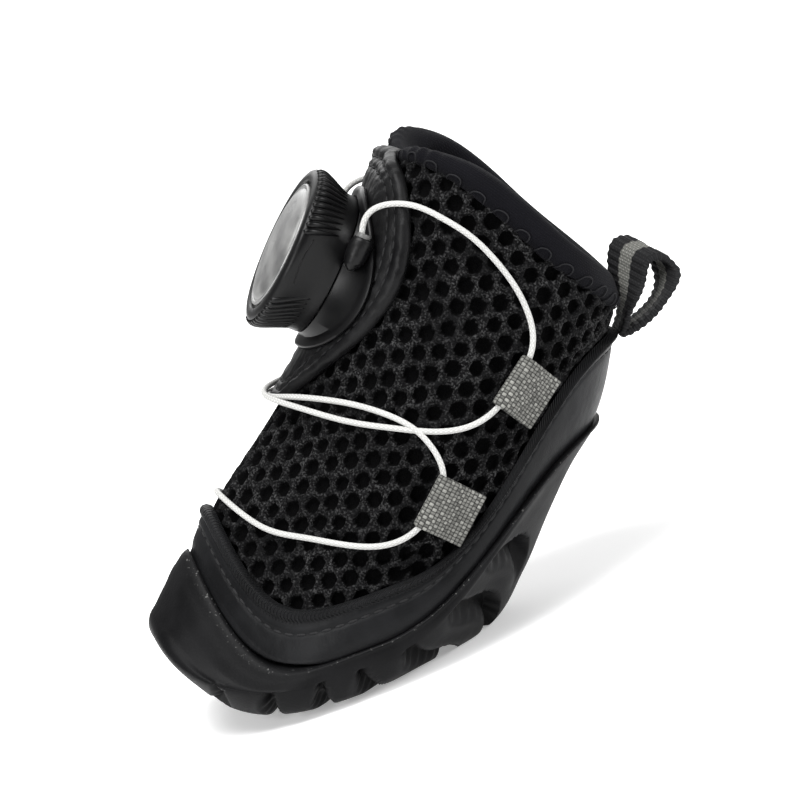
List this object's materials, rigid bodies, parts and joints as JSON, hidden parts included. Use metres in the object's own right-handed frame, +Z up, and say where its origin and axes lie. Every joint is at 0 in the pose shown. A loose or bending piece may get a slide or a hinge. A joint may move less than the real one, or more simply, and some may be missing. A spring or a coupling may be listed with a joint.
{
  "type": "dog boot",
  "caption": "Short round-toed dog boot with a rubber cup sole, zigzag lugs, mesh upper, padded collar and a lace dial on the shaft front.",
  "frame": {"origin": "on the floor under the middle of the boot's overall box", "axes": "+X to the boot's left side, -Y to the toe, +Z up"},
  "size_m": [0.0592, 0.1062, 0.0825],
  "materials": {
    "sole_rubber": "matte moulded rubber",
    "insole_fabric": "flat knit",
    "mesh_fabric": "coarse spacer mesh",
    "rand_leather": "smooth satin synthetic leather",
    "collar_fabric": "smooth stretch knit",
    "patch_leather": "satin synthetic leather",
    "dial_black_plastic": "black moulded plastic",
    "dial_grip_plastic": "dark grey ribbed plastic",
    "dial_silver_plastic": "silver-grey satin plastic",
    "lace_cord": "white round braided cord",
    "loop_webbing": "grey flecked webbing",
    "pull_webbing": "black grosgrain with a grey stripe"
  },
  "bodies": {
    "root": {"outsole": "sole_rubber", "insole": "insole_fabric", "upper": "mesh_fabric", "rand": "rand_leather", "collar": "collar_fabric", "dial_patch": "patch_leather", "dial_base": "dial_black_plastic", "dial_knob": "dial_grip_plastic", "dial_disc": "dial_silver_plastic", "lace": "lace_cord", "lace_loop_left_upper": "loop_webbing", "lace_loop_left_lower": "loop_webbing", "lace_loop_right_upper": "loop_webbing", "lace_loop_right_lower": "loop_webbing", "pull_loop": "pull_webbing"}
  },
  "joints": []
}
